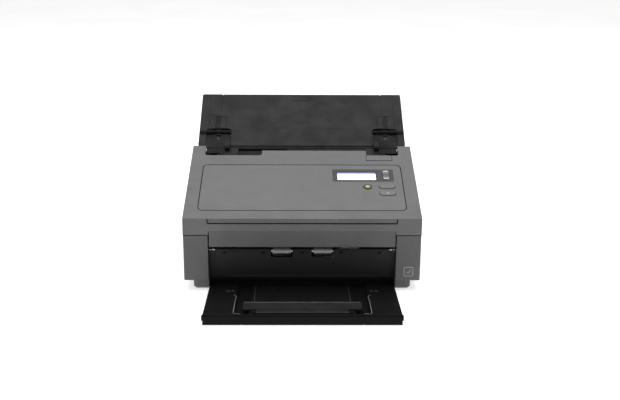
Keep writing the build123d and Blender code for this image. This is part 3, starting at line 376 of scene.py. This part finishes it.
def plate(name, surface, outline, slab, body, slot, look=None, edge=0.15):
    """A flat piece: an outline on a surface, from the slab's low to its high, with softened edges."""
    mesh = bmesh.new()
    rings = [[mesh.verts.new(surface(x, v, h)) for x, v in outline] for h in slab]
    mesh.faces.new(rings[0])
    mesh.faces.new(rings[1])
    for k in range(len(outline)):
        j = (k + 1) % len(outline)
        mesh.faces.new((rings[0][k], rings[0][j], rings[1][j], rings[1][k]))
    piece = finish_piece(mesh, name, body, look or LOOKS[slot])
    if edge:
        soften(piece, edge, 2)
    return piece


def box_outline(x0, x1, v0, v1):
    return [(x0, v0), (x1, v0), (x1, v1), (x0, v1)]


def rounded_outline(x0, x1, v0, v1, r, steps=5):
    points = []
    corners = ((x1 - r, v1 - r, 0), (x0 + r, v1 - r, 1), (x0 + r, v0 + r, 2), (x1 - r, v0 + r, 3))
    for x, v, quarter in corners:
        for k in range(steps + 1):
            a = (quarter + k / steps) * pi / 2
            points.append((x + r * cos(a), v + r * sin(a)))
    return points


def circle_outline(x, v, r, steps=28):
    return [(x + r * cos(2 * pi * k / steps), v + r * sin(2 * pi * k / steps)) for k in range(steps)]


def beside(s, distances):
    """Distances from the middle, placed on side s."""
    return [s * x for x in distances]


def lengthwise(x, ends):
    return [(x, v) for v in ends]


def crosswise(ends, v):
    return [(x, v) for x in ends]


def from_tray(places):
    """Places along the input tray, as places along the path."""
    return [TRAY_C + v for v in places]


def wire(name, surface, route, bead, body, slot, look=None, closed=False):
    """A thin round bead that follows a route on a surface."""
    h, r = bead
    mesh = bmesh.new()
    count = len(route)
    rings = []
    for k in range(count):
        before = route[k - 1] if k or closed else route[0]
        after = route[(k + 1) % count] if k < count - 1 or closed else route[-1]
        along = (surface(*after, h) - surface(*before, h)).normalized()
        up = (surface(0, 0, 1) - surface(0, 0, 0)).normalized()
        out = along.cross(up)
        ring = []
        for step in range(BEAD_SIDES):
            a = 2 * pi * step / BEAD_SIDES
            offset = (out * cos(a) + up * sin(a)) * r / MM_PER_M
            ring.append(mesh.verts.new(surface(*route[k], h) + offset))
        rings.append(ring)
    for k in range(count if closed else count - 1):
        near, far = rings[k], rings[(k + 1) % count]
        for step in range(BEAD_SIDES):
            other = (step + 1) % BEAD_SIDES
            mesh.faces.new((near[step], near[other], far[other], far[step]))
    if not closed:
        mesh.faces.new(rings[0])
        mesh.faces.new(rings[-1])
    return finish_piece(mesh, name, body, look or LOOKS[slot], smooth=True)


def washer(name, s, x0, x1, hole, steps=32):
    """A thin ring around the input tray's hinge line. It covers the gap beside the hopper's arm."""
    mesh = bmesh.new()
    rings = []
    for x, radius in ((x0, WASHER_R), (x1, WASHER_R), (x1, hole), (x0, hole)):
        turn = [2 * pi * k / steps for k in range(steps)]
        rings.append([mesh.verts.new(path(s * x, HINGE_C + radius * cos(a), radius * sin(a))) for a in turn])
    for k in range(len(rings)):
        near, far = rings[k], rings[(k + 1) % len(rings)]
        for step in range(steps):
            other = (step + 1) % steps
            mesh.faces.new((near[step], near[other], far[other], far[step]))
    return finish_piece(mesh, name, "base", LOOKS["pin_dark"])


# ------------------------------------------------------------------ beads and slabs, in millimetres
# A bead is the height of its centre above the surface, and its radius.
BEADS = {
    "key_rim": (-0.1, 0.55),
    "power_rim": (0.02, 0.25),
    "lens_ring": (0.62, 0.6),
    "power_mark": (0.72, 0.2),
    "panel_groove": (-0.58, 0.92),
    "band_line": (-0.4, 0.8),
    "lcd_rim": (0.25, 0.25),
    "lcd_gasket": (-0.35, 0.2),
    "pillar_frame": (0.05, 0.32),
    "pillar_tick": (0.05, 0.35),
    "well_rim": (0.12, 0.5),
    "well_end": (0.1, 0.35),
    "finger_rib": (0.05, 0.32),
    "stack_rib": (-0.3, 0.3),
    "deck_edge": (-0.4, 0.3),
    "latch_highlight": (0.05, 0.35),
    "stopper_ridge": (0.7, 0.35),
    "side_recess": (0, 0.32),
    "side_line": (0, 0.3),
    "tray_gap": (0, 0.45),
    "back_rib": (-4.2, 0.7),
    "pull_outline_shade": (-0.1, 0.3),
    "bay_foot": (0, 0.45),
    "bay_side": (0, 0.3),
    "lip_line": (-0.55, 0.5),
    "chute_rib": (-1.2, 0.45),
    "socket_rim": (0.02, 0.45),
}
# A slab is the heights of its bottom and top above the surface.
SLABS = {
    "start_mark": (0.7, 1.05),
    "arrow_tip": (0.7, 1.1),
    "side_patch": (-0.1, 0.12),
    "side_head": (-0.1, 0.5),
    "arm_hole": (-1.6, -1.35),
    "bay_notch": (-0.1, 0.25),
    "bay_tab": (-0.1, 0.5),
    "rear_plate": (-0.79, -0.45),
}
# Black beads and patches put in grooves, gaps, recesses and cut-outs: painted shade.
GAP_SHADE_BLACK = LOOKS["inner_black"]

# ------------------------------------------------------------------ control panel
START_MARK = (120.9, 125.1, 61.0, 62.2)
KEY_X, KEY_HALF = (111.3, 134.8), 5.1
KEY_ROWS = {"start": 61.6, "stop": 79}
ARROW_X = (119.7, 127.5)
ARROW_ROWS = {"up": (116.4, 119.6), "down": (97.7, 100.9)}
POWER_AT, POWER_RIM_R, LENS_R = (95, 78.5), 6.5, 3.9
MARK_V, MARK_R, MARK_GAP, MARK_STEPS = 78.3, 1.7, 0.7, 14
MARK_BAR = (78.6, 80.7)
PANEL_EDGE = rounded_outline(-146.8, 146.8, 19.7, 136.3, 7.4)
BAND_ROUTE = [(-132.2, 106.9), (-132.2, 101.6), (-131, 100.3), (131, 100.3), (132.2, 101.6), (132.2, 106.9)]
LCD_EDGE = rounded_outline(51.2, 109.3, 95.7, 117.3, 0.8)
SCREEN_EDGE = rounded_outline(51.9, 108.6, 96.4, 116.6, 0.6)


def power_arc():
    """The power mark's open ring, with its gap at the top."""
    points = []
    for k in range(MARK_STEPS + 1):
        a = MARK_GAP + (2 * pi - 2 * MARK_GAP) * k / MARK_STEPS
        points.append((POWER_AT[0] + MARK_R * sin(a), MARK_V + MARK_R * cos(a)))
    return points


plate("start_mark", cover_top, rounded_outline(*START_MARK, 0.5), SLABS["start_mark"], "start_button",
      "key_grey", MARK_PALE, 0.1)
# A dark bead round each key: painted shadow in the gap at the key's edge.
for label, v in KEY_ROWS.items():
    wire(f"{label}_rim", cover_top, rounded_outline(*KEY_X, v - KEY_HALF, v + KEY_HALF, 5),
         BEADS["key_rim"], "cover", "panel_grey", RIM_SHADE_AND_PRINT, closed=True)
for label, row in ARROW_ROWS.items():
    plate(f"{label}_tip", cover_top, rounded_outline(*ARROW_X, *row, 0.9), SLABS["arrow_tip"],
          f"{label}_key", "key_grey", MARK_PALE, 0.2)
wire("power_rim", cover_top, circle_outline(*POWER_AT, POWER_RIM_R), BEADS["power_rim"], "cover",
     "power_dark", closed=True)
wire("lens_ring", cover_top, circle_outline(*POWER_AT, LENS_R), BEADS["lens_ring"], "power_button",
     "power_dark", closed=True)
wire("power_mark_arc", cover_top, power_arc(), BEADS["power_mark"], "power_button", "lens_green", RIM_SHADE_AND_PRINT)
wire("power_mark_bar", cover_top, lengthwise(POWER_AT[0], MARK_BAR), BEADS["power_mark"], "power_button",
     "lens_green", RIM_SHADE_AND_PRINT)
# The line in the groove round the panel and the line under the front band are black beads: painted shade in
# the groove and the part line.
wire("panel_groove_line", cover_top, PANEL_EDGE, BEADS["panel_groove"], "cover", "panel_grey", GAP_SHADE_BLACK,
     closed=True)
wire("band_line", front, BAND_ROUTE, BEADS["band_line"], "cover", "cover_grey", GAP_SHADE_BLACK)
wire("lcd_rim", cover_top, LCD_EDGE, BEADS["lcd_rim"], "cover", "lcd_frame", closed=True)
wire("lcd_gasket", cover_top, SCREEN_EDGE, BEADS["lcd_gasket"], "cover", "lcd_frame", closed=True)

# ------------------------------------------------------------------ pillar mark, a plain framed tick
MARK_FRAME = rounded_outline(143.6, 156.2, 22.5, 35.9, 1.6)
MARK_TICK = [(146.5, 29.5), (149, 26.5), (153.3, 32.6)]
wire("pillar_mark_frame", front, MARK_FRAME, BEADS["pillar_frame"], "base", "body_grey", MARK_PALE,
     closed=True)
wire("pillar_mark_tick", front, MARK_TICK, BEADS["pillar_tick"], "base", "body_grey", MARK_PALE)

# ------------------------------------------------------------------ output tray
RIM_ROUTE = [(93.7, -34), (92.2, -38), (90.4, -42), (91.2, -60), (91.2, -106.5)]
WELL_END_X, WELL_END_V = (81.5, 90.8), -108.4
FINGER_X, FINGER_STEP, FINGER_V = 98, 3.2, (-22, -50)
STACK_X, STACK_STEP, STACK_V = -54, 18, (1, -61)
DECK_X, DECK_V = 65.6, (8, -60)
LATCH_HIGHLIGHTS, LATCH_V = ((95, 98.4), (100.6, 106)), -18
RIDGE_X, RIDGE_V = (-78, 78), -66
# The well rims and well ends are pale beads: painted highlights on their glossy edges.
for s, label in SIDES:
    wire(f"well_rim_{label}", out_top, [(s * x, v) for x, v in RIM_ROUTE], BEADS["well_rim"],
         "output_tray", "tray_black", RIM_HIGHLIGHT)
    wire(f"well_end_{label}", out_top, crosswise(beside(s, WELL_END_X), WELL_END_V), BEADS["well_end"],
         "output_tray", "tray_black", RIM_HIGHLIGHT)
    for k in range(4):
        wire(f"finger_rib_{label}_{k}", out_top, lengthwise(s * (FINGER_X + FINGER_STEP * k), FINGER_V),
             BEADS["finger_rib"], "output_tray", "tray_black")
for k in range(7):
    wire(f"stack_rib_{k}", out_top, lengthwise(STACK_X + STACK_STEP * k, STACK_V), BEADS["stack_rib"],
         "output_extension", "tray_black")
# The latch lines here and the stopper ridge below are pale beads: painted highlights on their edges.
for s, label in SIDES:
    wire(f"deck_edge_{label}", out_top, lengthwise(s * DECK_X, DECK_V), BEADS["deck_edge"],
         "output_extension", "tray_black", BAY_EDGE)
    for k, ends in enumerate(LATCH_HIGHLIGHTS):
        wire(f"latch_highlight_{label}_{k}", out_top, crosswise(beside(s, ends), LATCH_V), BEADS["latch_highlight"],
             "output_tray", "tray_black", RIM_HIGHLIGHT)
wire("stopper_ridge", out_top, crosswise(RIDGE_X, RIDGE_V), BEADS["stopper_ridge"], "output_stopper",
     "tray_black", RIM_HIGHLIGHT)

# ------------------------------------------------------------------ input tray
RECESS_X, RECESS_V = (118.6, 135.3), (39, 66)
PATCH_X, PATCH_V = (127.7, 135.1), (39.4, 65.6)
HEAD_X, HEAD_V = (131.2, 141.5), (66.6, 71)
SIDE_LINE_X, SIDE_LINE_V = 146, (44, 114)
ARM_HOLE_X, ARM_HOLE_V, ARM_HOLE_R = 130, 17, 1.7
GAP_X, GAP_V = (108.5, 125.7), 32.8
BACK_RIB_X, BACK_RIB_STEP, BACK_RIB_V = -100, 20, (47, 113)
WASHER_R = 4.4
WASHERS = {"outer": (148.85, 149.15, 2.15), "inner": (110.36, 110.64, 0.5)}
PULL_X, PULL_V = (-17, 17), (104, 112)
# The recess outlines, the patches inside the recesses and the gap lines are black: painted shade in the
# recesses and the gaps.
for s, label in SIDES:
    recess = rounded_outline(*sorted(beside(s, RECESS_X)), *from_tray(RECESS_V), 1.2)
    wire(f"side_recess_{label}", path, recess, BEADS["side_recess"], "input_tray", "tray_dark", GAP_SHADE_BLACK,
         closed=True)
    patch = box_outline(*sorted(beside(s, PATCH_X)), *from_tray(PATCH_V))
    plate(f"side_patch_{label}", path, patch, SLABS["side_patch"], "input_tray", "tray_dark", GAP_SHADE_BLACK)
    top_mark = box_outline(*sorted(beside(s, HEAD_X)), *from_tray(HEAD_V))
    plate(f"side_head_{label}", path, top_mark, SLABS["side_head"], "input_tray", "tray_dark")
    wire(f"side_line_{label}", path, lengthwise(s * SIDE_LINE_X, from_tray(SIDE_LINE_V)), BEADS["side_line"],
         "input_tray", "tray_dark")
    plate(f"arm_hole_{label}", path, circle_outline(s * ARM_HOLE_X, TRAY_C + ARM_HOLE_V, ARM_HOLE_R),
          SLABS["arm_hole"], "base", "inner_black", LOOKS["pin_dark"], 0.1)
    wire(f"tray_gap_{label}", path, crosswise(beside(s, GAP_X), TRAY_C + GAP_V), BEADS["tray_gap"],
         "input_tray", "tray_dark", GAP_SHADE_BLACK)
for k in range(11):
    wire(f"back_rib_{k}", path, lengthwise(BACK_RIB_X + BACK_RIB_STEP * k, from_tray(BACK_RIB_V)),
         BEADS["back_rib"], "input_tray", "tray_dark")
for s, label in SIDES:
    for place, (x0, x1, hole) in WASHERS.items():
        washer(f"hinge_washer_{place}_{label}", s, x0, x1, hole)
# The outline of the pull is a black bead: painted shade in its groove.
wire("pull_outline_shade", path, rounded_outline(*PULL_X, *from_tray(PULL_V), 3.9), BEADS["pull_outline_shade"],
     "input_extension", "tray_dark", GAP_SHADE_BLACK, closed=True)

# ------------------------------------------------------------------ paper bay
NOTCH_STEP, NOTCH_HALF, NOTCH_V = 54.7, 2.4, (52.6, 56.6)
BAY_LINE_X, BAY_FOOT_V, LIP_LINE_V = (-129.5, 129.5), 14.3, 4.6
TAB_X, TAB_V = (122, 131), (58.5, 60.1)
BAY_SIDE_X, BAY_SIDE_V = 129.2, (15, 57)
# The notches round the exit rollers are black plates: painted shade in the wall's cut-outs.
for k in range(-2, 3):
    middle = NOTCH_STEP * k
    notch = rounded_outline(middle - NOTCH_HALF, middle + NOTCH_HALF, *NOTCH_V, 0.7)
    plate(f"bay_notch_{k + 2}", wall, notch, SLABS["bay_notch"], "base", "inner_black", GAP_SHADE_BLACK, 0.1)
wire("bay_foot_line", wall, crosswise(BAY_LINE_X, BAY_FOOT_V), BEADS["bay_foot"], "base", "inner_black",
     BAY_EDGE)
for s, label in SIDES:
    tab = box_outline(*sorted(beside(s, TAB_X)), *TAB_V)
    plate(f"bay_tab_{label}", wall, tab, SLABS["bay_tab"], "base", "steel")
    wire(f"bay_side_line_{label}", wall, lengthwise(s * BAY_SIDE_X, BAY_SIDE_V), BEADS["bay_side"], "base",
         "inner_black", BAY_EDGE)
# The black line across the lip's front: painted shade.
wire("lip_line", lip_front, crosswise(BAY_LINE_X, LIP_LINE_V), BEADS["lip_line"], "output_tray", "tray_black",
     GAP_SHADE_BLACK)

# ------------------------------------------------------------------ chute
CHUTE_STEP, CHUTE_SHIFT, CHUTE_CLEAR, CHUTE_V = 18, 4, 31, (153, 186)
STRIP = box_outline(-110.5, 110.5, 47.5, 50.5)
STRIP_SINK, STRIP_RISE = 0.02, 0.1
for k in range(-6, 7):
    x = CHUTE_STEP * k + (CHUTE_SHIFT if k % 2 else 0)
    if abs(x) < CHUTE_CLEAR:
        continue
    wire(f"chute_rib_{k + 6}", path, lengthwise(x, CHUTE_V), BEADS["chute_rib"], "base", "inner_black")
for label, h, sign, body in (("lower", -1.25, 1, "base"), ("upper", 1.65, -1, "cover")):
    plate(f"{label}_white_strip", path, STRIP, (h - STRIP_SINK * sign, h + STRIP_RISE * sign), body,
          "sensor_black", STRIP_WHITE, 0)

# ------------------------------------------------------------------ rear
SOCKETS, SOCKET_MARGIN, SOCKET_V = {"usb": (60, 6.5), "power": (95, 5.4)}, 0.6, (24.6, 38.0)
REAR_PLATE = rounded_outline(101, 129, 91, 99, 0.8)
for label, (x, half) in SOCKETS.items():
    outline = rounded_outline(x - half - SOCKET_MARGIN, x + half + SOCKET_MARGIN, *SOCKET_V, 1)
    wire(f"{label}_rim", rear, outline, BEADS["socket_rim"], "base", "body_grey", closed=True)
plate("rear_plate", rear, REAR_PLATE, SLABS["rear_plate"], "base", "steel", None, 0.1)

# ------------------------------------------------------------------ stage, in metres
FLOOR_SIZE, FLOOR_GLOW = 6, 0.62
FLOOR_TONES = ((0.90, 0.90, 0.90), (0.93, 0.93, 0.93))
SHADOW_TONE = (0.004, 0.004, 0.004)
SHADOW_SIDE, SHADOW_BACK, SHADOW_FRONT = (0.1325, 0.1345), (0.062, 0.068), (-0.062, -0.054)


def ground():
    """The stage floor. It glows, to whiten the background. Under the body it is near black, because the
    paper bay has no floor of its own and would show the stage through it."""
    mesh = bmesh.new()
    bmesh.ops.create_grid(mesh, x_segments=1, y_segments=1, size=FLOOR_SIZE)
    data = bpy.data.meshes.new("floor")
    mesh.to_mesh(data)
    mesh.free()
    look = Look("floor")
    split = look.nodes.new("ShaderNodeSeparateXYZ")
    look.links.new(look.at, split.inputs[0])
    across = look.nodes.new("ShaderNodeMath")
    across.operation = "ABSOLUTE"
    look.links.new(split.outputs["X"], across.inputs[0])
    beyond_side = look.spread(across.outputs[0], 0, 1, *SHADOW_SIDE)
    beyond_back = look.spread(split.outputs["Y"], 0, 1, *SHADOW_BACK)
    beyond_front = look.spread(split.outputs["Y"], 1, 0, *SHADOW_FRONT)
    tone = look.mix(look.spread(look.noise(3, 3), 0, 1), *FLOOR_TONES)
    under = look.mix(beyond_side, SHADOW_TONE, tone)
    under = look.mix(beyond_back, under, tone)
    under = look.mix(beyond_front, under, tone)
    look.colour(under)
    look.roughness(look.spread(look.noise(8, 3), 0.75, 0.85))
    look.links.new(under, look.shader.inputs["Emission Color"])
    look.shader.inputs["Emission Strength"].default_value = FLOOR_GLOW
    data.materials.append(look.material)
    floor = bpy.data.objects.new("floor", data)
    bpy.context.scene.collection.objects.link(floor)
    return floor


def area_light(name, place, target, size, power):
    data = bpy.data.lights.new(name, "AREA")
    data.shape = "RECTANGLE"
    data.size, data.size_y = size
    data.energy = power
    light = bpy.data.objects.new(name, data)
    light.location = place
    light.rotation_euler = (Vector(target) - Vector(place)).to_track_quat("-Z", "Y").to_euler()
    bpy.context.scene.collection.objects.link(light)
    return light


# Each light's place, target, size and power in watts.
LIGHTS = {
    "top_light": ((0, 0.25, 1.7), (0, 0.05, 0.1), (1.8, 1.4), 26.5),
    "front_light": ((0.2, -1.9, 1.1), (0, 0, 0.08), (1.6, 0.9), 0.6),
    "left_light": ((-1.6, -0.3, 0.9), (0, 0, 0.1), (0.9, 0.9), 4),
    "right_light": ((1.6, -0.1, 0.9), (0, 0, 0.1), (0.9, 0.9), 3.3),
}
WORLD_STRENGTH = 0.38
lights = [area_light(name, *setting) for name, setting in LIGHTS.items()]
ground()

world = bpy.data.worlds.new("studio")
world.use_nodes = True
background = world.node_tree.nodes["Background"]
background.inputs["Color"].default_value = (1, 1, 1, 1)
background.inputs["Strength"].default_value = WORLD_STRENGTH
bpy.context.scene.world = world
bpy.context.scene.view_settings.view_transform = "Standard"

# ------------------------------------------------------------------ camera, fitted to the photo
YAW, PITCH, ROLL = 0.01514, 0.30979, 0.0067
CAMERA_AT, LENS, SENSOR = (-9.5, -1310.6, 554.6), 58.06, 36
ahead = Vector((sin(YAW) * cos(PITCH), cos(YAW) * cos(PITCH), -sin(PITCH)))
right = Vector((cos(YAW), -sin(YAW), 0))
up = right.cross(ahead)
right_rolled = cos(ROLL) * right + sin(ROLL) * up
up_rolled = cos(ROLL) * up - sin(ROLL) * right
camera_data = bpy.data.cameras.new("camera")
camera_data.lens = LENS
camera_data.sensor_width = SENSOR
camera_data.clip_start = 0.05
camera = bpy.data.objects.new("camera", camera_data)
turn = Matrix((right_rolled, up_rolled, -ahead)).transposed().to_4x4()
camera.matrix_world = Matrix.Translation(level(*CAMERA_AT)) @ turn
bpy.context.scene.collection.objects.link(camera)
bpy.context.scene.camera = camera
